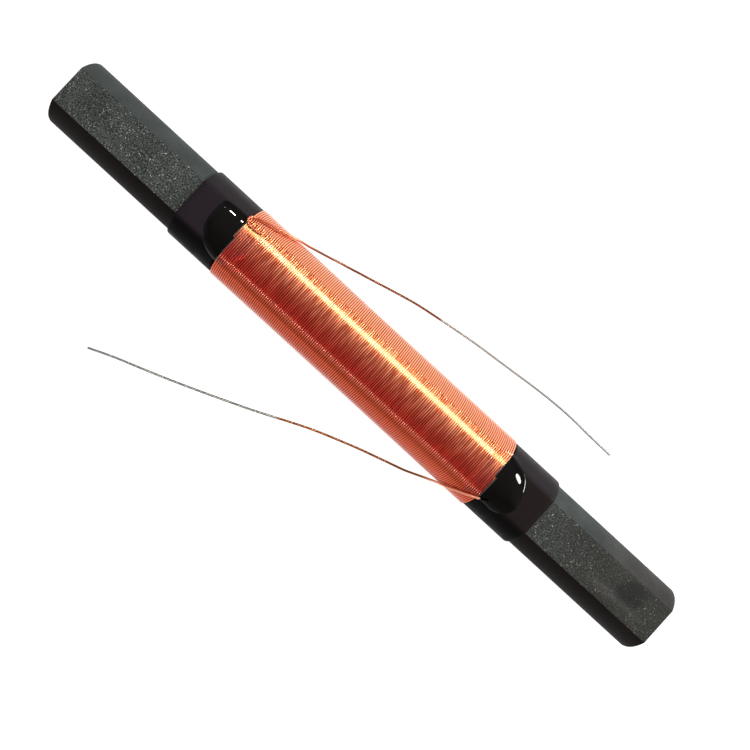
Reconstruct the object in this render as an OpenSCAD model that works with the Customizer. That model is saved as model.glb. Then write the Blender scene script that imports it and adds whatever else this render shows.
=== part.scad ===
// Ferrite rod antenna: a flatted ferrite rod in a shrunk-on sleeve, wound with one layer of
// enamelled copper wire whose two ends are held by drops of adhesive and run out as free leads.
// Millimetres. The rod lies along X, its flats face up and down, and the winding's lowest
// ridges rest on z = 0 below the middle of the rod.

/* [Rod] */
// Length of the ferrite rod
rod_len = 100; // [80:1:160]
// Diameter of the rod over its round sides
rod_d = 9.7; // [9:0.05:12]
// Distance between the two ground flats
flats_apart = 8.1; // [6.5:0.05:9]
// Bevel on the rim of each round side
rim_bevel = 0.25; // [0.1:0.05:0.8]

/* [Sleeve] */
// Wall of the sleeve where it lies free
sleeve_wall = 0.35; // [0.25:0.05:0.8]
// Length of sleeve left bare beyond each end of the winding
bare_sleeve = 7.35; // [5:0.05:12]

/* [Winding] */
// Number of turns
turns = 156; // [40:1:190]
// Diameter of the wire over its enamel
wire_d = 0.28; // [0.2:0.01:0.4]
// Gap between neighbouring turns
turn_gap = 0.0033; // [0.001:0.0001:0.05]
// Distance of the winding's middle from the rod's middle
winding_shift = -0.1; // [-1:0.1:1]
// Depth that the tight winding sinks into the sleeve
bed_depth = 0.1; // [0.05:0.01:0.2]

/* [Leads] */
// Diameter of a lead over its enamel or its solder
lead_d = 0.3; // [0.25:0.01:0.34]

/* [Adhesive] */
// Height of the start drop above the sleeve's flat
start_drop_rise = 0.5; // [0.45:0.05:0.9]
// Height of the end drop above the sleeve's flat
end_drop_rise = 0.8; // [0.6:0.05:1.6]
// Thickness of the film that a drop leaves on the winding
film_wall = 0.24; // [0.15:0.01:0.4]

/* [Fits] */
// Clearance between pieces that lie on each other
fit_gap = 0.01; // [0.005:0.005:0.03]

/* [Hidden] */
$fn = 96;

bed_level = sleeve_wall - bed_depth;           // from the rod's skin to the winding's inside
crest_level = bed_level + wire_d;              // from the rod's skin to the ridges' crests
mid_z = flats_apart / 2 + crest_level;         // height of the rod's axis
turn_pitch = wire_d + turn_gap;
winding_len = turns * turn_pitch;
sleeve_len = winding_len + 2 * bare_sleeve;
sleeve_top = mid_z + flats_apart / 2 + sleeve_wall;
film_rise = crest_level - sleeve_wall + film_wall;
ridge_facets = 3;                              // straight steps over one turn, an odd number
overrun = 1;                                   // how far a cutting shape passes a face
lead_sides = 8;

// Balls whose hull is a drop of adhesive: how far each stands outwards from the winding's
// edge and across the rod, its radius, and the height of its top above the sleeve's flat
start_drop = [
    [2.95, 1.95, 1.2, start_drop_rise], [2.95, -0.8, 1.2, start_drop_rise],
    [1.8, -2.3, 1.2, film_rise], [0.1, -2.7, 1.2, film_rise], [-1.2, -2.6, 1.2, film_rise],
    [-2.1, -0.85, 1.2, film_rise], [-2.4, 0.35, 1.2, film_rise], [-2.25, 2.4, 1.2, film_rise]
];
end_drop = [
    [1.5, 0.6, 4.3, end_drop_rise], [2.5, -1.1, 3.4, end_drop_rise - 0.1],
    [-0.1, 2.9, 1.2, film_rise], [-1.15, 2.6, 1.2, film_rise],
    [-1.95, 0.35, 1.2, film_rise], [-1.65, -2.9, 1.2, film_rise]
];

// The start lead comes out beside the start drop, turns back at the winding's edge, runs
// down the winding's rear side and lies along the rod on the surface below.
start_route = [
    [-19.75, 2.65, 9.37], [-20.1, 2.45, 9.37], [-20.7, 2.35, 9.37], [-21.3, 2.35, 9.37],
    [-21.8, 2.4, 9.37], [-22.1, 2.6, 9.35], [-22.25, 2.9, 9.3], [-22.2, 3.2, 9.15],
    [-22, 3.45, 8.95], [-21.6, 3.7, 8.75], [-20.5, 4.05, 8.4], [-19.3, 4.35, 8.05],
    [-18.4, 4.6, 7.7], [-17.6, 4.85, 7.3], [-16.9, 5.1, 6.8], [-16, 5.4, 6.1],
    [-15, 5.7, 5], [-13.9, 6.1, 3.8], [-12.8, 6.5, 2.7], [-11.7, 6.9, 1.7],
    [-10.6, 7.3, 0.9], [-9.4, 7.65, 0.4], [-8, 8.05, 0.2], [-5.7, 8.65, 0.16],
    [-2.5, 9.5, 0.16], [0.6, 10.25, 0.16], [3.8, 10.8, 0.16], [7, 11.3, 0.16],
    [10.2, 11.75, 0.16], [13.5, 12.1, 0.16], [16.8, 12.45, 0.16], [20, 12.8, 0.16],
    [23.3, 13.05, 0.16], [26.5, 13.15, 0.16], [29.8, 13.05, 0.16], [33.9, 13, 0.16]
];
// The end lead comes out of the end drop over the winding's last turns, runs down its front
// side and lies on the surface, slanting away from the rod.
end_route = [
    [23.2, -2.8, 9.2], [22.7, -3.05, 9.13], [22.2, -3.3, 9.05], [21.7, -3.55, 8.85],
    [21.2, -3.8, 8.65], [20.4, -4.2, 8.2], [19.6, -4.55, 7.75], [18.9, -4.95, 7.1],
    [18.2, -5.25, 6.35], [17.6, -5.55, 5.3], [16.9, -5.95, 4.2], [16.2, -6.35, 3.2],
    [15.3, -6.85, 2.2], [14.2, -7.4, 1.25], [13.1, -7.8, 0.65], [11.9, -8.2, 0.3],
    [10.5, -8.65, 0.18], [8.1, -9.4, 0.16], [5.1, -10.45, 0.16], [2, -11.6, 0.16],
    [-0.9, -12.85, 0.16], [-3.9, -14.25, 0.16], [-6.8, -15.55, 0.16], [-9.8, -16.8, 0.16],
    [-12.7, -18, 0.16], [-15.7, -19.2, 0.16], [-18.7, -20.35, 0.16], [-21.7, -21.45, 0.16],
    [-24.7, -22.55, 0.16], [-27.9, -23.9, 0.16]
];

// Lays a shape drawn along Z on the rod's axis, with its x across the flats.
module on_axis(shift = 0) {
    translate([shift, 0, mid_z]) rotate([0, 90, 0]) children();
}

// The rod's section grown outwards by a wall, as a bar of a given length.
module flatted_bar(grow, length) {
    intersection() {
        cylinder(d = rod_d + 2 * grow, h = length, center = true);
        cube([flats_apart + 2 * grow, rod_d + 2 * grow + overrun, length + overrun], center = true);
    }
}

module ferrite_rod() {
    radius = rod_d / 2;
    half = rod_len / 2;
    color([0.24, 0.27, 0.25]) on_axis() intersection() {
        rotate_extrude() polygon([
            [0, -half], [radius - rim_bevel, -half], [radius, -half + rim_bevel],
            [radius, half - rim_bevel], [radius - rim_bevel, half], [0, half]
        ]);
        cube([flats_apart, rod_d + overrun, rod_len + overrun], center = true);
    }
}

module insulating_sleeve() {
    color([0.13, 0.12, 0.14]) difference() {
        on_axis() flatted_bar(sleeve_wall, sleeve_len);
        on_axis() flatted_bar(fit_gap, sleeve_len + overrun);
        on_axis(winding_shift) difference() {
            flatted_bar(sleeve_wall + overrun, winding_len + 2 * fit_gap);
            flatted_bar(bed_level, winding_len + 2 * overrun);
        }
    }
}

// The outline of the turns as seen in a cut along the axis, from one end to the other.
function ridge_line(wire_middle) = [
    for (turn = [0 : turns - 1], step = [0 : ridge_facets - 1])
        let (angle = 180 * step / ridge_facets)
        [wire_middle + wire_d / 2 * sin(angle) / cos(90 / ridge_facets),
         (turn + 0.5 - cos(angle) / 2) * turn_pitch - winding_len / 2],
    [wire_middle, winding_len / 2]
];
function mirrored(line) = [for (i = [len(line) - 1 : -1 : 0]) [-line[i][0], line[i][1]]];

// Every turn runs round the sides as a ridge of a turned body and straight over the flats as
// a ridge of an extruded one, and the two meet along the edges of the flats.
module winding() {
    half = winding_len / 2;
    side_ridges = ridge_line(rod_d / 2 + bed_level + wire_d / 2);
    flat_ridges = ridge_line(flats_apart / 2 + bed_level + wire_d / 2);
    color([0.8, 0.36, 0.2]) on_axis(winding_shift) difference() {
        intersection() {
            rotate_extrude() polygon([[0, -half], each side_ridges, [0, half]]);
            translate([0, rod_d, 0]) rotate([90, 0, 0])
                linear_extrude(2 * rod_d) polygon([each flat_ridges, each mirrored(flat_ridges)]);
        }
        flatted_bar(bed_level + fit_gap, winding_len + overrun);
    }
}

function unit(v) = v / norm(v);

// A round tube swept along a route, with a ring of points at each of the route's points.
module tube(route, diameter) {
    last = len(route) - 1;
    ring_points = [
        for (i = [0 : last])
            let (along = unit(route[min(i + 1, last)] - route[max(i - 1, 0)]))
            let (side = unit(cross(along, [0, 0, 1])), up = cross(side, along))
            for (k = [0 : lead_sides - 1])
                let (angle = 360 * k / lead_sides)
                route[i] + diameter / 2 * (cos(angle) * side + sin(angle) * up)
    ];
    walls = [
        for (i = [0 : last - 1], k = [0 : lead_sides - 1])
            let (a = i * lead_sides, b = a + lead_sides, next = (k + 1) % lead_sides)
            [a + k, a + next, b + next, b + k]
    ];
    caps = [
        [for (k = [lead_sides - 1 : -1 : 0]) k],
        [for (k = [0 : lead_sides - 1]) last * lead_sides + k]
    ];
    polyhedron(points = ring_points, faces = concat(walls, caps));
}

module start_lead() {
    color([0.72, 0.4, 0.26]) tube(start_route, lead_d);
}

module end_lead() {
    color([0.72, 0.4, 0.26]) tube(end_route, lead_d);
}

// A drop of adhesive set hard over the sleeve, the winding's edge and the lead that it holds,
// at the winding's low (-1) or high (1) end.
module drop(end, balls, route) {
    edge = winding_shift + end * winding_len / 2;
    difference() {
        hull() for (ball = balls)
            translate([edge + end * ball[0], ball[1], sleeve_top + ball[3] - ball[2]])
                sphere(ball[2], $fn = 32);
        on_axis() flatted_bar(sleeve_wall + fit_gap, sleeve_len + overrun);
        on_axis(winding_shift) flatted_bar(crest_level + fit_gap, winding_len + 2 * fit_gap);
        tube(route, lead_d + 2 * fit_gap);
    }
}

module start_glue() {
    color([0.16, 0.08, 0.05]) drop(-1, start_drop, start_route);
}

module end_glue() {
    color([0.16, 0.08, 0.05]) drop(1, end_drop, end_route);
}

ferrite_rod();
insulating_sleeve();
winding();
start_lead();
end_lead();
start_glue();
end_glue();
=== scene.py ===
import math
import random

import bmesh
import bpy
from mathutils import Euler, Matrix, Vector, noise


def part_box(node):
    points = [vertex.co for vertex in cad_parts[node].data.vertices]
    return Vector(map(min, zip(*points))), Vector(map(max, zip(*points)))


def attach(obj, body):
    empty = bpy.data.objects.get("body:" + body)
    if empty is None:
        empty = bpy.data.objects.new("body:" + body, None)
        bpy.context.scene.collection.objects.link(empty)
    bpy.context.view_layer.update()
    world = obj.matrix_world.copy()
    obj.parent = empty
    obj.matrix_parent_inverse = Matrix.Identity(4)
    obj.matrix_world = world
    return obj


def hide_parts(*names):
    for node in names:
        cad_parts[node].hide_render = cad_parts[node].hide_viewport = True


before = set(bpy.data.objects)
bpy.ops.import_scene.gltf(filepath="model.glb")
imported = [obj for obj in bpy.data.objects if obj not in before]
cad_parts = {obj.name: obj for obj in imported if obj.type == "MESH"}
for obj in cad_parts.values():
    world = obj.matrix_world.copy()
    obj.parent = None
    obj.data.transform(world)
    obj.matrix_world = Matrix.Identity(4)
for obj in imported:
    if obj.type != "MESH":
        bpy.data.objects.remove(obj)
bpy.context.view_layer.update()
random.seed(11)

# camera
# almost straight above the rod, turned so that the rod runs from upper left to lower right
cameraSettings = {
    "place": (-0.005068, -0.002590, 0.106275),
    "tilt": (1.230, -1.176, 42.577),   # in degrees
    "sensor": 36,
    "lens": 37.77,
    "shift": (0.0401, -0.0409),
    "clipStart": 0.005,
}
cameraData = bpy.data.cameras.new("camera")
cameraData.sensor_width = cameraSettings["sensor"]
cameraData.lens = cameraSettings["lens"]
cameraData.shift_x, cameraData.shift_y = cameraSettings["shift"]
cameraData.clip_start = cameraSettings["clipStart"]
camera = bpy.data.objects.new("camera", cameraData)
camera.location = cameraSettings["place"]
turned = Euler([math.radians(a) for a in cameraSettings["tilt"]], "ZYX")
camera.rotation_euler = turned.to_matrix().to_euler()
bpy.context.scene.collection.objects.link(camera)
bpy.context.scene.camera = camera
print("camera set")

# leads
leadSettings = {
    "diameter": 0.0003,
    "roundSteps": 3,
    "lengthSteps": 4,
}
startLead = {
    "points": [
        (-0.01975, 0.00265, 0.00937), (-0.0201, 0.00245, 0.00937), (-0.0207, 0.00235, 0.00937),
        (-0.0213, 0.00235, 0.00937), (-0.0218, 0.0024, 0.00937), (-0.0221, 0.0026, 0.00935),
        (-0.02225, 0.0029, 0.0093), (-0.0222, 0.0032, 0.00915), (-0.022, 0.00345, 0.00895),
        (-0.0216, 0.0037, 0.00875), (-0.0205, 0.00405, 0.0084), (-0.0193, 0.00435, 0.00805),
        (-0.0184, 0.0046, 0.0077), (-0.0176, 0.00485, 0.0073), (-0.0169, 0.0051, 0.0068),
        (-0.016, 0.0054, 0.0061), (-0.015, 0.0057, 0.005), (-0.0139, 0.0061, 0.0038),
        (-0.0128, 0.0065, 0.0027), (-0.0117, 0.0069, 0.0017), (-0.0106, 0.0073, 0.0009),
        (-0.0094, 0.00765, 0.0004), (-0.008, 0.00805, 0.0002), (-0.0057, 0.00865, 0.00016),
        (-0.0025, 0.0095, 0.00016), (0.0006, 0.01025, 0.00016), (0.0038, 0.0108, 0.00016),
        (0.007, 0.0113, 0.00016), (0.0102, 0.01175, 0.00016), (0.0135, 0.0121, 0.00016),
        (0.0168, 0.01245, 0.00016), (0.02, 0.0128, 0.00016), (0.0233, 0.01305, 0.00016),
        (0.0265, 0.01315, 0.00016), (0.0298, 0.01305, 0.00016), (0.0339, 0.013, 0.00016),
    ],
    "tinnedFrom": 0.0045,
    "tinnedWay": 1,
    "onWinding": (0.62, 0.20, 0.11),     # the enamel's tone there, painted lighter as if lit like the winding
    "enamel": (0.25, 0.090, 0.045),      # and where the lead lies free
    "tin": (0.44, 0.44, 0.43),
}
endLead = {
    "points": [
        (0.0232, -0.0028, 0.0092), (0.0227, -0.00305, 0.00913), (0.0222, -0.0033, 0.00905),
        (0.0217, -0.00355, 0.00885), (0.0212, -0.0038, 0.00865), (0.0204, -0.0042, 0.0082),
        (0.0196, -0.00455, 0.00775), (0.0189, -0.00495, 0.0071), (0.0182, -0.00525, 0.00635),
        (0.0176, -0.00555, 0.0053), (0.0169, -0.00595, 0.0042), (0.0162, -0.00635, 0.0032),
        (0.0153, -0.00685, 0.0022), (0.0142, -0.0074, 0.00125), (0.0131, -0.0078, 0.00065),
        (0.0119, -0.0082, 0.0003), (0.0105, -0.00865, 0.00018), (0.0081, -0.0094, 0.00016),
        (0.0051, -0.01045, 0.00016), (0.002, -0.0116, 0.00016), (-0.0009, -0.01285, 0.00016),
        (-0.0039, -0.01425, 0.00016), (-0.0068, -0.01555, 0.00016), (-0.0098, -0.0168, 0.00016),
        (-0.0127, -0.018, 0.00016), (-0.0157, -0.0192, 0.00016), (-0.0187, -0.02035, 0.00016),
        (-0.0217, -0.02145, 0.00016), (-0.0247, -0.02255, 0.00016), (-0.0279, -0.0239, 0.00016),
    ],
    "tinnedFrom": -0.0029,
    "tinnedWay": -1,
    # painted light: lighter where it lies up on the winding
    "onWinding": (0.85, 0.42, 0.28),
    "enamel": (0.30, 0.105, 0.038),
    "tin": (0.26, 0.26, 0.25),
    "buried": (0.0221, 0.0223),          # from here on it lies under dark adhesive
    "buriedTone": (0.004, 0.003, 0.0025),
}


def makeLead(name, settings, cadNode):
    curve = bpy.data.curves.new(name, "CURVE")
    curve.dimensions = "3D"
    curve.bevel_depth = 1.0              # times each point's radius below
    curve.bevel_resolution = leadSettings["roundSteps"]
    curve.resolution_u = leadSettings["lengthSteps"]
    curve.use_fill_caps = True
    spline = curve.splines.new("BEZIER")
    spline.bezier_points.add(len(settings["points"]) - 1)
    for knot, place in zip(spline.bezier_points, settings["points"]):
        knot.co = place
        knot.handle_left_type = knot.handle_right_type = "AUTO"
        knot.radius = leadSettings["diameter"] / 2
    lead = bpy.data.objects.new(name, curve)
    bpy.context.scene.collection.objects.link(lead)
    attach(lead, "root")
    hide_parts(cadNode)
    print(name, "made")
    return lead


startWire = makeLead("startWire", startLead, "start_lead")
endWire = makeLead("endWire", endLead, "end_lead")

# shared shapes
rodLow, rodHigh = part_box("ferrite_rod")
axisZ = (rodLow.z + rodHigh.z) / 2
rodRadius = (rodHigh.y - rodLow.y) / 2
rodHalf = (rodHigh.z - rodLow.z) / 2     # from the axis to a flat
flatCrown = 5                            # a crown radius so large that the flat is flat
mergeWithin = 1e-7                       # points nearer than this become one


def quarterOutline(grow, corner, crownRadius, flatSteps, cornerSteps, sideSteps):
    # points (y, z) from the middle of the upper flat round to the middle of the right side;
    # the flat is an arc of crownRadius, and an arc of the corner radius joins it to the side
    radius, half = rodRadius + grow, rodHalf + grow
    below = half - crownRadius
    cornerZ = (below ** 2 - (crownRadius - corner) ** 2 + (radius - corner) ** 2) / (2 * below)
    cornerY = math.sqrt((radius - corner) ** 2 - cornerZ ** 2)
    firstTilt = math.atan2(cornerY, cornerZ - below)
    lastTilt = math.atan2(cornerY, cornerZ)
    arcs = [
        (0, below, crownRadius, 0, firstTilt, flatSteps),
        (cornerY, cornerZ, corner, firstTilt, lastTilt, cornerSteps),
        (0, 0, radius, lastTilt, math.pi / 2, sideSteps),
    ]
    points = []
    for middleY, middleZ, size, low, high, steps in arcs:
        for i in range(steps):
            tilt = low + (high - low) * i / steps
            points.append((middleY + size * math.sin(tilt), middleZ + size * math.cos(tilt)))
    return points + [(radius, 0)]


def fullOutline(*shape):
    upperRight = quarterOutline(*shape)
    lowerRight = [(y, -z) for y, z in reversed(upperRight[:-1])]
    right = upperRight + lowerRight
    left = [(-y, z) for y, z in reversed(right[1:-1])]
    return right + left


def section(x, *shape):
    # the outline's points in a cut across the rod
    return [(x, y, axisZ + z) for y, z in fullOutline(*shape)]


def loft(bm, sections):
    # extrudes a closed loop of points from each section to the next, and returns the end loops
    first = loop = [bm.verts.new(place) for place in sections[0]]
    for i in range(len(loop)):
        bm.edges.new((loop[i - 1], loop[i]))
    for places in sections[1:]:
        edges = [bm.edges.get((loop[i - 1], loop[i])) for i in range(len(loop))]
        grown = bmesh.ops.extrude_edge_only(bm, edges=edges)["geom"]
        copies = {v.co.to_tuple(): v for v in grown if isinstance(v, bmesh.types.BMVert)}
        loop = [copies[v.co.to_tuple()] for v in loop]
        for vert, place in zip(loop, places):
            vert.co = place
    return first, loop


def capEnds(bm, loops):
    return [bmesh.ops.contextual_create(bm, geom=loop)["faces"][0] for loop in loops]


def finishPiece(name, bm, cadNode, sharpAngle):
    bmesh.ops.remove_doubles(bm, verts=bm.verts, dist=mergeWithin)
    bmesh.ops.recalc_face_normals(bm, faces=bm.faces)
    mesh = bpy.data.meshes.new(name)
    bm.to_mesh(mesh)
    bm.free()
    mesh.shade_smooth()
    mesh.set_sharp_from_angle(angle=math.radians(sharpAngle))
    piece = bpy.data.objects.new(name, mesh)
    bpy.context.scene.collection.objects.link(piece)
    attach(piece, "root")
    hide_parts(cadNode)
    print(name, "made", len(mesh.polygons))
    return piece


# ferrite rod
rodSettings = {
    "corner": 0.00012,
    "steps": (2, 2, 14),     # over half a flat, one corner and half a side, as in all the pieces
    "endBevel": 0.00012,
    "bevelSteps": 2,
    "sharpAngle": 35,
}


def makeRod():
    s = rodSettings
    bm = bmesh.new()
    shape = (0, s["corner"], flatCrown, *s["steps"])
    ends = capEnds(bm, loft(bm, [section(x, *shape) for x in (rodLow.x, rodHigh.x)]))
    rim = [e for face in ends for e in face.edges]
    bmesh.ops.bevel(bm, geom=rim, offset=s["endBevel"], offset_type="OFFSET",
                    segments=s["bevelSteps"], profile=0.5, affect="EDGES", material=-1)
    return finishPiece("ferriteRod", bm, "ferrite_rod", s["sharpAngle"])


rod = makeRod()

# sleeve
sleeveLow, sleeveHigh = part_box("insulating_sleeve")
windingLow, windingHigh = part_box("winding")
sleeveSettings = {
    "wall": 0.00035,
    # round the mouth from the inside, (distance in from the sleeve's end, height over the rod)
    "innerMouth": [(0.0001, 0.00001), (0, 0.00006)],
    # and on outside, (distance in from the sleeve's end, depth below the skin)
    "outerMouth": [(0, 0.00012), (0.00004, 0.00004), (0.00012, 0), (0.0008, 0)],
    "besideWinding": (0.001, 0.0001),    # distances out from the winding's edge
    "underWinding": (0.0002, 0.00006),   # (distance in from that edge, wall)
    "corner": 0.0009,
    "innerCorner": 0.0004,
    "steps": (2, 4, 12),
    "sharpAngle": 40,
}


def makeSleeve():
    s = sleeveSettings
    stations = []
    inset, bedWall = s["underWinding"]
    for end, mouthX, edgeX in ((-1, sleeveLow.x, windingLow.x), (1, sleeveHigh.x, windingHigh.x)):
        half = [(mouthX - end * x, grow) for x, grow in s["innerMouth"]]
        half += [(mouthX - end * x, s["wall"] - depth) for x, depth in s["outerMouth"]]
        half += [(edgeX + end * x, s["wall"]) for x in s["besideWinding"]]
        half.append((edgeX - end * inset, bedWall))
        stations += half if end < 0 else reversed(half)
    sections = []
    for x, grow in stations:
        corner = s["corner"] if grow > s["wall"] / 2 else s["innerCorner"]
        sections.append(section(x, grow, corner, flatCrown, *s["steps"]))
    bm = bmesh.new()
    loft(bm, sections + sections[:1])
    return finishPiece("shrunkSleeve", bm, "insulating_sleeve", s["sharpAngle"])


sleeve = makeSleeve()

# winding
windingSettings = {
    "turns": 155,
    "wireDiameter": 0.00028,
    "roundSteps": 2,
    "bed": 0.00025,                    # its inside lies this far over the rod
    "corner": 0.0020,
    "crownRadius": 0.016,              # the wire bulges a little over the flats
    "steps": (7, 6, 4),
    "lift": 0.000005,                  # how far a turn strays off its bed
    "liftNoise": (0.83, 130, 5.1),     # steps by turn and across the rod, and where it starts
    "stray": 0.000012,                 # how far it strays along the rod
    "strayNoise": (0.71, 300, 9.7),
    "lean": 0.000007,                  # how far a turn dips to one side of the flat
    "leanWithin": 0.0038,              # this near the middle of the flat
    # the wire's two ends lie on the sleeve under the adhesive, (along the rod, across it)
    "startTail": [(-0.0232, -0.0014), (-0.0229, -0.0009), (-0.02255, -0.0005)],
    "endTail": [(0.0224, 0.0005), (0.0229, 0.0009), (0.0233, 0.0014)],
    "tailHeight": 0.00008,
    "sharpAngle": 60,
}
sleeveTop = axisZ + rodHalf + sleeveSettings["wall"]
wireWay = windingHigh.x - windingLow.x - windingSettings["wireDiameter"]
wirePitch = wireWay / windingSettings["turns"]


def windingRoute(outline):
    # the wire's middle line from one tail to the other
    s = windingSettings
    wireRadius = s["wireDiameter"] / 2
    firstX, lastX = windingLow.x + wireRadius, windingHigh.x - wireRadius
    lengths = [math.dist(a, b) for a, b in zip(outline, outline[1:] + outline[:1])]
    shares = [sum(lengths[:i]) / sum(lengths) for i in range(len(outline))]
    liftTurn, liftAcross, liftStart = s["liftNoise"]
    strayTurn, strayAcross, strayStart = s["strayNoise"]
    route = [(x, y, sleeveTop + s["tailHeight"]) for x, y in s["startTail"]]
    for turn in range(s["turns"]):
        lean = random.gauss(0, s["lean"])
        for (y, z), share in zip(outline, shares):
            along = turn + share
            up = 1 if z > 0 else -1
            liftPlace = Vector((along * liftTurn, y * liftAcross, liftStart))
            lift = s["lift"] * (noise.noise(liftPlace) - 0.5)
            strayPlace = Vector((along * strayTurn, z * strayAcross, strayStart))
            edge = min(along, s["turns"] - along, 1)      # no stray at the very ends
            stray = s["stray"] * noise.noise(strayPlace) * edge
            size = 1 + lift / math.hypot(y, z)
            dip = lean * y / rodRadius * up - abs(lean) * 0.5 if abs(y) < s["leanWithin"] else 0
            x = firstX + along * wirePitch + stray
            route.append((x, y * size, axisZ + z * size + dip * up))
    route.append((lastX, outline[0][0], axisZ + outline[0][1]))
    return route + [(x, y, sleeveTop + s["tailHeight"]) for x, y in s["endTail"]]


def makeWinding():
    s = windingSettings
    wireRadius = s["wireDiameter"] / 2
    outline = fullOutline(s["bed"] + wireRadius, s["corner"], s["crownRadius"], *s["steps"])
    route = windingRoute(outline)
    curve = bpy.data.curves.new("windingPath", "CURVE")
    curve.dimensions = "3D"
    curve.bevel_depth = wireRadius
    curve.bevel_resolution = s["roundSteps"]
    curve.use_fill_caps = True
    spline = curve.splines.new("POLY")
    spline.points.add(len(route) - 1)
    for knot, place in zip(spline.points, route):
        knot.co = (*place, 1)
    shaper = bpy.data.objects.new("windingPath", curve)
    bpy.context.scene.collection.objects.link(shaper)
    bpy.context.view_layer.update()
    mesh = bpy.data.meshes.new_from_object(shaper)
    bpy.data.objects.remove(shaper)
    bm = bmesh.new()
    bm.from_mesh(mesh)
    bpy.data.meshes.remove(mesh)
    return finishPiece("woundWire", bm, "winding", s["sharpAngle"])


winding = makeWinding()

# adhesive
glueSettings = {
    "curveSteps": 5,
    "rings": 28,
    "ringPower": 1.7,        # brings the rings closer together towards the rim
    "innerRing": 0.96,       # how far in the last ring lies
    "underShares": (1.0, 0.8, 0.6, 0.4, 0.2, 0.05),
    "underDepth": 0.0001,    # its bottom lies this far under the skin
    "bareX": 0.025,          # a place on the bare sleeve
    "woundX": 0.0,           # and one on the winding
    "stepWidth": 0.0003,     # over which the skin steps up to the winding
    "climbStart": 0.0006,    # where the drop rises off the film, in from the winding's edge
    "climbRun": 0.0020,      # and over what length
    "sunk": 0.00002,         # the rim lies this far under the skin
    "film": 0.00009,         # height over the winding
    "filmMargin": 0.0004,    # width over which the film rounds down
    "domePower": 2.1,
    "foot": 0.12,            # share of the rise at the steeper rim
    "footPower": 12,
    "sharpAngle": 180,
}
startGlue = {
    "middle": (-0.0228, -0.0003),
    "outline": [
        (-0.0259, 0.0027), (-0.0246, 0.00315), (-0.0230, 0.0031), (-0.0218, 0.0028),
        (-0.0204, 0.0025), (-0.0196, 0.0023), (-0.0191, 0.0012), (-0.0191, 0.0002),
        (-0.0194, -0.0009), (-0.0200, -0.0021), (-0.0204, -0.0032), (-0.0214, -0.0037),
        (-0.0228, -0.0037), (-0.0242, -0.0032), (-0.0251, -0.0023), (-0.0259, -0.0012),
        (-0.0261, 0.0008),
    ],
    "top": 0.00049,          # height over the sleeve
    "margin": 0.00115,       # width over which it rounds down to the sleeve
    "crown": (-0.0270, 0.045),       # where its back is highest, and how round along the rod
}
endGlue = {
    "middle": (0.0236, 0.0001),
    "outline": [
        (0.0200, 0.0026), (0.0207, 0.0033), (0.0218, 0.00365), (0.0230, 0.0035),
        (0.0243, 0.0028), (0.0255, 0.0017), (0.0263, 0.0001), (0.0265, -0.0014),
        (0.0259, -0.0026), (0.0246, -0.0034), (0.0228, -0.0034), (0.0212, -0.0036),
        (0.0200, -0.0035), (0.0196, -0.0022), (0.0196, -0.0008), (0.0195, 0.0004),
        (0.0196, 0.0015),
    ],
    "top": 0.00052,
    "margin": 0.0022,
    "crown": (0.0232, 0.08),
}


def beyondWinding(x):
    return max(windingLow.x - x, x - windingHigh.x)


def limit(share):
    return min(max(share, 0), 1)


def skinHeight(x, y):
    # height of the sleeve or the winding under a point, with a soft step at the winding's edge
    def surface(grow, crownRadius):
        radius, half = rodRadius + grow, rodHalf + grow
        crowned = half - crownRadius + math.sqrt(crownRadius ** 2 - y ** 2)
        return min(crowned, math.sqrt(max(radius ** 2 - y ** 2, 0)))

    crest = windingSettings["bed"] + windingSettings["wireDiameter"]
    share = limit(0.5 - beyondWinding(x) / glueSettings["stepWidth"])
    sleeveSkin = surface(sleeveSettings["wall"], flatCrown)
    windingSkin = surface(crest, windingSettings["crownRadius"])
    return axisZ + sleeveSkin * (1 - share) + windingSkin * share


def roundCurve(points, steps):
    # a closed smooth curve through the points
    count = len(points)
    smooth = []
    for i in range(count):
        a, b, c, d = (Vector(points[(i + k) % count]) for k in (-1, 0, 1, 2))
        for j in range(steps):
            t = j / steps
            smooth.append(0.5 * (2 * b + (c - a) * t + (2 * a - 5 * b + 4 * c - d) * t * t
                                 + (3 * b - a - 3 * c + d) * t ** 3))
    return smooth


def glueTop(drop, x, y, inwards):
    # height of a drop's upper skin at a point that lies a distance inwards from its rim
    s = glueSettings
    reach = limit((beyondWinding(x) + s["climbStart"]) / s["climbRun"])
    reach = reach * reach * (3 - 2 * reach)
    crownX, crownRadius = drop["crown"]
    fall = (x - crownX) ** 2 / 2 / crownRadius + y ** 2 / 2 / windingSettings["crownRadius"]
    overSleeve = sleeveTop + drop["top"] - fall
    overWinding = skinHeight(s["woundX"], y) + s["film"]
    skin = skinHeight(x, y)
    rise = overWinding * (1 - reach) + overSleeve * reach - skin
    width = s["filmMargin"] + (drop["margin"] - s["filmMargin"]) * reach
    left = 1 - min(inwards / width, 1)
    dome = (1 - left ** s["domePower"]) * (1 - s["foot"])
    foot = (1 - left ** s["footPower"]) * s["foot"]
    return skin - s["sunk"] + rise * (dome + foot)


def glueBottom(y):
    s = glueSettings
    return min(skinHeight(s["bareX"], y), skinHeight(s["woundX"], y)) - s["underDepth"]


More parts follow.
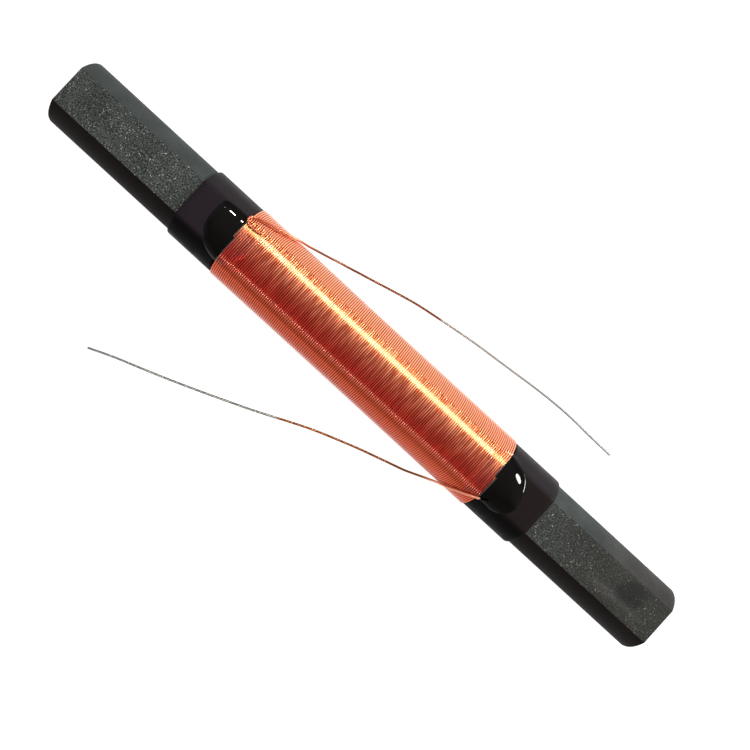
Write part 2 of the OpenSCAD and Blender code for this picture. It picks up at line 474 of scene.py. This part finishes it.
def makeGlue(name, drop, cadNode):
    s = glueSettings
    middle = Vector(drop["middle"])
    rim = roundCurve(drop["outline"], s["curveSteps"])
    reaches = [(place - middle).length for place in rim]

    def ring(share):
        return [middle + (place - middle) * share for place in rim]

    def topRing(share):
        return [(x, y, glueTop(drop, x, y, reach * (1 - share)))
                for (x, y), reach in zip(ring(share), reaches)]

    def bottomRing(share):
        return [(x, y, glueBottom(y)) for x, y in ring(share)]

    steps = [i / s["rings"] for i in range(s["rings"] + 1)]
    shares = [1 - step ** s["ringPower"] * s["innerRing"] for step in steps]
    sections = [topRing(share) for share in reversed(shares)]
    sections += [bottomRing(share) for share in s["underShares"]]
    bm = bmesh.new()
    bmesh.ops.poke(bm, faces=capEnds(bm, loft(bm, sections)))
    piece = finishPiece(name, bm, cadNode, s["sharpAngle"])
    piece.visible_shadow = False     # light reaches the wire and the sleeve under it
    return piece


startDrop = makeGlue("startDrop", startGlue, "start_glue")
endDrop = makeGlue("endDrop", endGlue, "end_glue")


# materials
def newMaterial(name, piece, finish):
    material = bpy.data.materials.new(name)
    material.use_nodes = True
    shader = material.node_tree.nodes["Principled BSDF"]
    for socket, value in finish.items():
        shader.inputs[socket].default_value = value
    piece.data.materials.clear()
    piece.data.materials.append(material)
    return material.node_tree, shader


def addNode(tree, kind, inputs=None, **settings):
    node = tree.nodes.new(kind)
    for name, value in settings.items():
        setattr(node, name, value)
    for key, value in (inputs or {}).items():
        if isinstance(value, bpy.types.NodeSocket):
            tree.links.new(value, node.inputs[key])
        else:
            node.inputs[key].default_value = value
    return node


def addRamp(tree, factor, stops):
    node = addNode(tree, "ShaderNodeValToRGB", {"Fac": factor})
    elements = node.color_ramp.elements
    while len(elements) < len(stops):
        elements.new(0.5)
    for element, (position, shade) in zip(elements, stops):
        element.position = position
        element.color = (shade, shade, shade, 1)
    return node.outputs["Color"]


def calculate(tree, operation, a, b=0.0, clamp=False):
    inputs = {0: a, 1: b}
    return addNode(tree, "ShaderNodeMath", inputs, operation=operation, use_clamp=clamp).outputs[0]


def times(tree, a, b):
    return calculate(tree, "MULTIPLY", a, b)


def distanceTo(tree, value, place):
    return calculate(tree, "ABSOLUTE", calculate(tree, "SUBTRACT", value, place))


def spread(tree, value, low, high, to=(0.0, 1.0)):
    inputs = {"Value": value, "From Min": low, "From Max": high, "To Min": to[0], "To Max": to[1]}
    return addNode(tree, "ShaderNodeMapRange", inputs, interpolation_type="SMOOTHSTEP").outputs[0]


def mixColour(tree, factor, a, b, blend="MIX"):
    node = addNode(tree, "ShaderNodeMix", data_type="RGBA", blend_type=blend)
    for socket, value in ((node.inputs[0], factor), (node.inputs[6], a), (node.inputs[7], b)):
        if isinstance(value, bpy.types.NodeSocket):
            tree.links.new(value, socket)
        else:
            socket.default_value = (*value, 1) if isinstance(value, tuple) else value
    return node.outputs[2]


def tint(tree, a, b):
    return mixColour(tree, 1.0, a, b, "MULTIPLY")


def addNoise(tree, place, scale, detail, **more):
    inputs = {"Vector": place, "Scale": scale, "Detail": detail}
    return addNode(tree, "ShaderNodeTexNoise", inputs | more).outputs["Fac"]


def addBump(tree, shader, height, strength, depth):
    inputs = {"Height": height, "Strength": strength, "Distance": depth}
    bump = addNode(tree, "ShaderNodeBump", inputs)
    tree.links.new(bump.outputs[0], shader.inputs["Normal"])


def coordinate(tree, kind):
    return addNode(tree, "ShaderNodeTexCoord").outputs[kind]


def axisParts(tree, vector):
    return addNode(tree, "ShaderNodeSeparateXYZ", {0: vector}).outputs


# places are in metres along the rod or across it, and a range may go from high to low
rodLookSettings = {
    "finish": {"Roughness": 0.6, "Specular IOR Level": 0.1},
    # tones of the ground flats
    "dark": (0.011, 0.013, 0.012),
    "main": (0.108, 0.118, 0.114),
    # painted glints on the flats
    "glintSpeck": (0.80, 0.81, 0.76),
    "dull": (0.025, 0.023, 0.019),
    "scuffed": (0.085, 0.082, 0.078),
    # tones of the round sides, painted lit on one side and shaded on the other
    "litSide": (0.056, 0.064, 0.063),
    "dullSide": (0.048, 0.046, 0.044),
    "shadedSide": (0.0085, 0.0048, 0.0045),
    # (scale, detail) of each noise
    "mottle": (5200.0, 4.0),
    "mottleRoughness": 0.75,
    "clump": (1300.0, 2.0),
    "patch": (260.0, 3.0),
    "grainScale": 9800.0,
    # how the noises turn into tones
    "mottleRange": (0.36, 0.66),
    "speckRange": (0.84, 1.0),              # which grains are specks
    "speckSize": (0.6, 0.3),
    "clumpRange": (0.42, 0.66, (0.12, 1.0)),
    "flatPatches": [(0.3, 0.75), (0.7, 1.2)],
    "sidePatches": [(0.3, 0.78), (0.7, 1.18)],
    "sideMottle": [(0.3, 0.8), (0.7, 1.2)],
    # the flats grow darker, with fewer specks, towards the far end
    "dullAlong": (0.015, 0.046),
    "dullDepth": 0.68,
    "dullSideAlong": (0.034, 0.045),
    # a smudge there
    "smudgeMiddle": (0.0446, 0.0006),
    "smudgeWander": 0.0022,
    "smudgeEdge": (0.0035, 0.0023, (0.0, 0.5)),
    # and a pale scuff
    "scuffStart": (0.0385, 0.0405),
    "scuffEnd": (0.0485, 0.0465),
    "scuffAcross": -0.0011,
    "scuffWander": 0.0018,
    "scuffEdge": (0.0018, 0.0006, (0.0, 0.62)),
    "scuffBreaks": (0.38, 0.62, (0.3, 1.0)),
    "sideAcross": (-0.0028, 0.0012),        # from the painted shaded side to the painted lit one
    "flatFacing": (0.93, 0.985),            # how far up a face points to be ground
    "bump": (0.35, 0.00005),
}


def rodLook():
    s = rodLookSettings
    tree, shader = newMaterial("groundFerrite", rod, s["finish"])
    place = coordinate(tree, "Object")
    at = axisParts(tree, place)
    facing = axisParts(tree, coordinate(tree, "Normal"))
    mottle = addNoise(tree, place, *s["mottle"], Roughness=s["mottleRoughness"])
    clump = addNoise(tree, place, *s["clump"])
    patch = addNoise(tree, place, *s["patch"])
    cells = {"Vector": place, "Scale": s["grainScale"]}
    grain = addNode(tree, "ShaderNodeTexVoronoi", cells).outputs
    grainShade = addNode(tree, "ShaderNodeSeparateColor", {0: grain["Color"]}).outputs[0]
    # the flats are mottled, with painted glints as bright specks that come in clumps
    flat = mixColour(tree, spread(tree, mottle, *s["mottleRange"]), s["dark"], s["main"])
    flat = tint(tree, flat, addRamp(tree, patch, s["flatPatches"]))
    sparkle = times(tree, spread(tree, grainShade, *s["speckRange"]),
                    spread(tree, clump, *s["clumpRange"]))
    near = spread(tree, grain["Distance"], *s["speckSize"])
    flat = mixColour(tree, times(tree, sparkle, near), flat, s["glintSpeck"])
    dull = times(tree, spread(tree, at[0], *s["dullAlong"]), s["dullDepth"])
    flat = mixColour(tree, dull, flat, s["dull"])
    # the smudge has a wandering edge
    offX, offY = (calculate(tree, "SUBTRACT", at[i], s["smudgeMiddle"][i]) for i in (0, 1))
    squares = calculate(tree, "ADD", times(tree, offX, offX), times(tree, offY, offY))
    away = calculate(tree, "SQRT", squares)
    away = calculate(tree, "ADD", away, times(tree, patch, s["smudgeWander"]))
    flat = mixColour(tree, spread(tree, away, *s["smudgeEdge"]), flat, s["dark"])
    # so has the scuff, which lets the mottle through
    beside = distanceTo(tree, at[1], s["scuffAcross"])
    beside = calculate(tree, "ADD", beside, times(tree, patch, s["scuffWander"]))
    pale = times(tree, spread(tree, at[0], *s["scuffStart"]), spread(tree, at[0], *s["scuffEnd"]))
    pale = times(tree, pale, spread(tree, beside, *s["scuffEdge"]))
    pale = times(tree, pale, spread(tree, mottle, *s["scuffBreaks"]))
    flat = mixColour(tree, pale, flat, s["scuffed"])
    # the round sides keep the smooth skin of the pressed rod, painted lighter on the lit side and
    # darker on the shaded one
    side = mixColour(tree, spread(tree, at[0], *s["dullSideAlong"]), s["litSide"], s["dullSide"])
    side = mixColour(tree, spread(tree, at[1], *s["sideAcross"]), s["shadedSide"], side)
    side = tint(tree, side, addRamp(tree, mottle, s["sideMottle"]))
    side = tint(tree, side, addRamp(tree, patch, s["sidePatches"]))
    onFlat = spread(tree, calculate(tree, "ABSOLUTE", facing[2]), *s["flatFacing"])
    tree.links.new(mixColour(tree, onFlat, side, flat), shader.inputs["Base Color"])
    addBump(tree, shader, mottle, *s["bump"])


sleeveLookSettings = {
    "finish": {"Roughness": 0.5, "Specular IOR Level": 0.05},
    # the near side's tone is painted shade
    "near": (0.003, 0.0020, 0.0020),
    "flat": (0.0215, 0.0155, 0.0205),
    "flatBrown": (0.0168, 0.0120, 0.0120),
    # the far side's tone is painted light, and its rim a painted reflection
    "far": (0.030, 0.026, 0.029),
    "rim": (0.044, 0.040, 0.043),
    "brownAlong": (-0.005, 0.005),
    "flatAcross": (-0.0034, -0.0022),
    "farAcross": (0.0024, 0.0033),
    "rimAcross": (0.0040, 0.0050),
    "cloud": (900.0, 5.0),
    "cloudRange": (0.3, 0.7, (0.36, 0.5)),
    "bump": (0.15, 0.0001),
}


def sleeveLook():
    s = sleeveLookSettings
    tree, shader = newMaterial("shrunkBlack", sleeve, s["finish"])
    place = coordinate(tree, "Object")
    at = axisParts(tree, place)
    # the part over the rod's far half is browner than the near one
    tone = mixColour(tree, spread(tree, at[0], *s["brownAlong"]), s["flat"], s["flatBrown"])
    # painted shade on the near side, painted light on the far side and a painted reflection along
    # its rim
    tone = mixColour(tree, spread(tree, at[1], *s["flatAcross"]), s["near"], tone)
    tone = mixColour(tree, spread(tree, at[1], *s["farAcross"]), tone, s["far"])
    tone = mixColour(tree, spread(tree, at[1], *s["rimAcross"]), tone, s["rim"])
    tree.links.new(tone, shader.inputs["Base Color"])
    cloud = addNoise(tree, place, *s["cloud"])
    tree.links.new(spread(tree, cloud, *s["cloudRange"]), shader.inputs["Roughness"])
    addBump(tree, shader, cloud, *s["bump"])


windingLookSettings = {
    "finish": {
        "Metallic": 1.0, "Roughness": 0.29, "Anisotropic": 1.0, "Anisotropic Rotation": 0.25,
        "Coat Weight": 0.4, "Coat Roughness": 0.2, "Coat IOR": 1.5,
    },
    "deep": ((0.84, 0.088, 0.052), (0.98, 0.130, 0.078)),    # two turns' tones over the flats
    # lighter tones towards the bright line, as painted light
    "warm": ((0.54, 0.22, 0.115), (0.88, 0.53, 0.34)),
    "crown": (0.90, 0.46, 0.25),        # a painted highlight along the brightest line
    # painted light along the near edge of the flat
    "nearEdge": (0.90, 0.27, 0.18),
    # painted light on the far side and painted shade on the near side
    "litFarSide": (0.98, 0.50, 0.295),
    "shadedNearSide": (0.65, 0.135, 0.055),
    "flatGapShade": (0.76, 0.17, 0.085),     # painted shade in the gaps, times the tone
    "bentGap": (1.0, 1.0, 0.9),
    "litGap": (1.0, 0.76, 0.48),        # the tone itself, a painted highlight in the gaps along the bright line
    "shoulderShade": (0.74, 0.45, 0.34),     # painted shade where the wire bends down to the far side
    "sideGapShade": (0.85, 0.44, 0.34),
    # the tone changes from turn to turn and slowly along each
    "turnNoise": (2700.0, 1.0),
    "turnStretch": 0.12,
    "turnRange": (0.38, 0.64),
    # places across the rod
    "warmAcross": (-0.0026, 0.0024),
    "brightLine": 0.0020,
    "paintedHighlightReach": (0.0006, 0.0002),
    "litGapReach": (0.0005, 0.0001),
    "nearEdgeAcross": (-0.0024, -0.0027),
    "shoulderStart": (0.0021, 0.0026),
    "shoulderEnd": (0.0033, 0.0030),
    "sideAcross": (0.0030, 0.0034),
    "sideChange": (-0.001, 0.001),
    "flankFacing": (0.35, 0.8),         # how far along the rod a face points to be in a gap
}


def windingLook():
    s = windingLookSettings
    tree, shader = newMaterial("enamelledCopper", winding, s["finish"])
    at = axisParts(tree, coordinate(tree, "Object"))
    facing = axisParts(tree, coordinate(tree, "Normal"))
    # the gloss is drawn out across the wire, as on drawn metal
    aroundRod = addNode(tree, "ShaderNodeTangent", direction_type="RADIAL", axis="X")
    tree.links.new(aroundRod.outputs[0], shader.inputs["Tangent"])
    drawnOut = addNode(tree, "ShaderNodeCombineXYZ",
                       {0: at[0], 1: times(tree, at[1], s["turnStretch"]), 2: 0.0}).outputs[0]
    turn = spread(tree, addNoise(tree, drawnOut, *s["turnNoise"]), *s["turnRange"])
    # painted light: the tone grows from deep red to warm orange towards the bright line
    tone = mixColour(tree, spread(tree, at[1], *s["warmAcross"]),
                     mixColour(tree, turn, *s["deep"]), mixColour(tree, turn, *s["warm"]))
    fromLine = distanceTo(tree, at[1], s["brightLine"])
    # painted highlight: a pale tone along the line where the window's reflection lies
    tone = mixColour(tree, spread(tree, fromLine, *s["paintedHighlightReach"]), tone, s["crown"])
    # painted light along the flat's near edge
    tone = mixColour(tree, spread(tree, at[1], *s["nearEdgeAcross"]), tone, s["nearEdge"])
    # painted shade over the shoulder where the wire bends down
    bent = times(tree, spread(tree, at[1], *s["shoulderStart"]),
                 spread(tree, at[1], *s["shoulderEnd"]))
    tone = mixColour(tree, bent, tone, tint(tree, tone, s["shoulderShade"]))
    # the sides: the far one painted lighter as lit, the near one darker as shaded
    onSide = spread(tree, calculate(tree, "ABSOLUTE", at[1]), *s["sideAcross"])
    sideTone = mixColour(tree, spread(tree, at[1], *s["sideChange"]), s["shadedNearSide"], s["litFarSide"])
    tone = mixColour(tree, onSide, tone, sideTone)
    # the wire's flanks, down in the gaps between turns, get painted shade in deep red
    gap = mixColour(tree, bent, s["flatGapShade"], s["bentGap"])
    gap = tint(tree, tone, mixColour(tree, onSide, gap, s["sideGapShade"]))
    # along the bright line the gaps get a painted highlight instead
    gap = mixColour(tree, spread(tree, fromLine, *s["litGapReach"]), gap, s["litGap"])
    flank = spread(tree, calculate(tree, "ABSOLUTE", facing[0]), *s["flankFacing"])
    tree.links.new(mixColour(tree, flank, tone, gap), shader.inputs["Base Color"])


leadLookSettings = {
    "finish": {"Metallic": 1.0, "Roughness": 0.3},
    "climb": (0.003, 0.006),            # heights between which it comes up onto the winding
    "tinEdge": (-0.0003, 0.0003),
}


def leadLook(piece, lead):
    s = leadLookSettings
    tree, shader = newMaterial(piece.name + "Metal", piece, s["finish"])
    at = axisParts(tree, coordinate(tree, "Object"))
    # the wire is painted lighter where it lies up on the winding, as if lit like the winding
    colour = mixColour(tree, spread(tree, at[2], *s["climb"]), lead["enamel"], lead["onWinding"])
    run = calculate(tree, "SUBTRACT", at[0], lead["tinnedFrom"])
    run = times(tree, run, lead["tinnedWay"])
    colour = mixColour(tree, spread(tree, run, *s["tinEdge"]), colour, lead["tin"])
    if "buried" in lead:
        colour = mixColour(tree, spread(tree, at[0], *lead["buried"]), colour, lead["buriedTone"])
    tree.links.new(colour, shader.inputs["Base Color"])


glueLookSettings = {
    "finish": {"Roughness": 0.03, "IOR": 1.45, "Specular IOR Level": 0.2},
    "thick": (0.003, 0.002, 0.0015),    # over the sleeve, nearly black
    "film": (1.0, 0.95, 0.88),          # a clear amber film over the wire
    "change": (0.00003, -0.00002),      # from one to the other, out from the winding's edge
}


def glueLook(piece, end):
    s = glueLookSettings
    tree, shader = newMaterial(piece.name + "Clear", piece, s["finish"])
    at = axisParts(tree, coordinate(tree, "Object"))
    reach = distanceTo(tree, at[0], (windingLow.x + windingHigh.x) / 2)
    # over one half of the flat the winding begins a turn further in
    further = calculate(tree, "GREATER_THAN", times(tree, at[1], end), 0.0)
    reach = calculate(tree, "ADD", reach, times(tree, further, wirePitch))
    edge = (windingHigh.x - windingLow.x) / 2
    onWire = spread(tree, reach, *(edge + out for out in s["change"]))
    tree.links.new(mixColour(tree, onWire, s["thick"], s["film"]), shader.inputs["Base Color"])
    tree.links.new(onWire, shader.inputs["Transmission Weight"])


rodLook()
sleeveLook()
windingLook()
leadLook(startWire, startLead)
leadLook(endWire, endLead)
glueLook(startDrop, -1)
glueLook(endDrop, 1)
print("materials made")

# floor
floorSettings = {
    "halfWidth": 0.6,
    "finish": {
        "Base Color": (0.15, 0.15, 0.15, 1), "Roughness": 0.9, "Specular IOR Level": 0.0,
        "Emission Color": (1, 1, 1, 1), "Emission Strength": 0.95,
    },
}


def makeFloor():
    s = floorSettings
    bm = bmesh.new()
    bmesh.ops.create_grid(bm, x_segments=1, y_segments=1, size=s["halfWidth"])
    mesh = bpy.data.meshes.new("floor")
    bm.to_mesh(mesh)
    bm.free()
    floor = bpy.data.objects.new("floor", mesh)
    bpy.context.scene.collection.objects.link(floor)
    newMaterial("paleFloor", floor, s["finish"])


makeFloor()
print("floor made")

# room
roomSettings = {
    # (degrees from straight up, towards +Y above zero; brightness)
    "bands": [
        (-90, 0.60), (-70, 0.80), (-47, 0.80), (-33, 0.55), (-20, 0.35), (-9, 0.49), (-3, 0.65),
        (2, 0.78), (7, 0.85), (12, 0.9), (20, 1.0), (31, 0.8), (42, 0.5), (54, 0.9), (66, 1.2),
        (90, 1.2),
    ],
    # beyond the rod's two ends
    "endTone": (0.9, 0.9, 0.9),
    "endRange": (0.75, 1.0, (0.0, 0.5)),
    "gamma": 0.85,
}


def makeRoom():
    s = roomSettings
    world = bpy.data.worlds.new("studio")
    world.use_nodes = True
    tree = world.node_tree
    towards = axisParts(tree, coordinate(tree, "Generated"))
    angle = calculate(tree, "ARCTAN2", towards[1], towards[2])
    share = calculate(tree, "DIVIDE", angle, math.pi)
    share = calculate(tree, "ADD", share, 0.5, clamp=True)
    tone = addRamp(tree, share, [((degrees + 90) / 180, shade) for degrees, shade in s["bands"]])
    endwards = spread(tree, calculate(tree, "ABSOLUTE", towards[0]), *s["endRange"])
    tone = mixColour(tree, endwards, tone, s["endTone"])
    tree.links.new(tone, tree.nodes["Background"].inputs["Color"])
    bpy.context.scene.world = world
    bpy.context.scene.view_settings.view_transform = "Standard"
    bpy.context.scene.view_settings.gamma = s["gamma"]


makeRoom()
print("room made")

# lights
lightSettings = {
    "window": {"place": (-0.062, 0.173, 0.55), "size": (0.032, 0.009), "power": 0.75,
               "colour": (1, 0.93, 0.74)},
    "highWindow": {"place": (0.32, 0.240, 0.42), "size": (0.10, 0.060), "power": 1.1,
                   "shape": "ELLIPSE"},
    "lowWindow": {"place": (0.46, 0.29, 0.25), "along": (-1, 1, 0), "size": (0.22, 0.06),
                  "power": 2.3},
    "backWindow": {"place": (-0.24, 0.18, 0.52), "size": (0.03, 0.03), "power": 0.12},
    "rimLight": {"place": (0.0, -0.263, 0.539), "size": (0.05, 0.008), "power": 0.26},
}


def makeLight(name, s):
    data = bpy.data.lights.new(name, "AREA")
    data.shape = s.get("shape", "RECTANGLE")
    data.size, data.size_y = s["size"]
    data.energy = s["power"]
    data.color = s.get("colour", (1, 1, 1))
    lamp = bpy.data.objects.new(name, data)
    lamp.location = s["place"]
    # faces the winding, its long side turned along the direction given
    away = Vector(s["place"]).normalized()
    side = away.cross(Vector(s.get("along", (1, 0, 0)))).normalized()
    lamp.rotation_euler = Matrix((side.cross(away), side, away)).transposed().to_euler()
    bpy.context.scene.collection.objects.link(lamp)


for name, settings in lightSettings.items():
    makeLight(name, settings)
print("lights made")

bpy.context.view_layer.update()
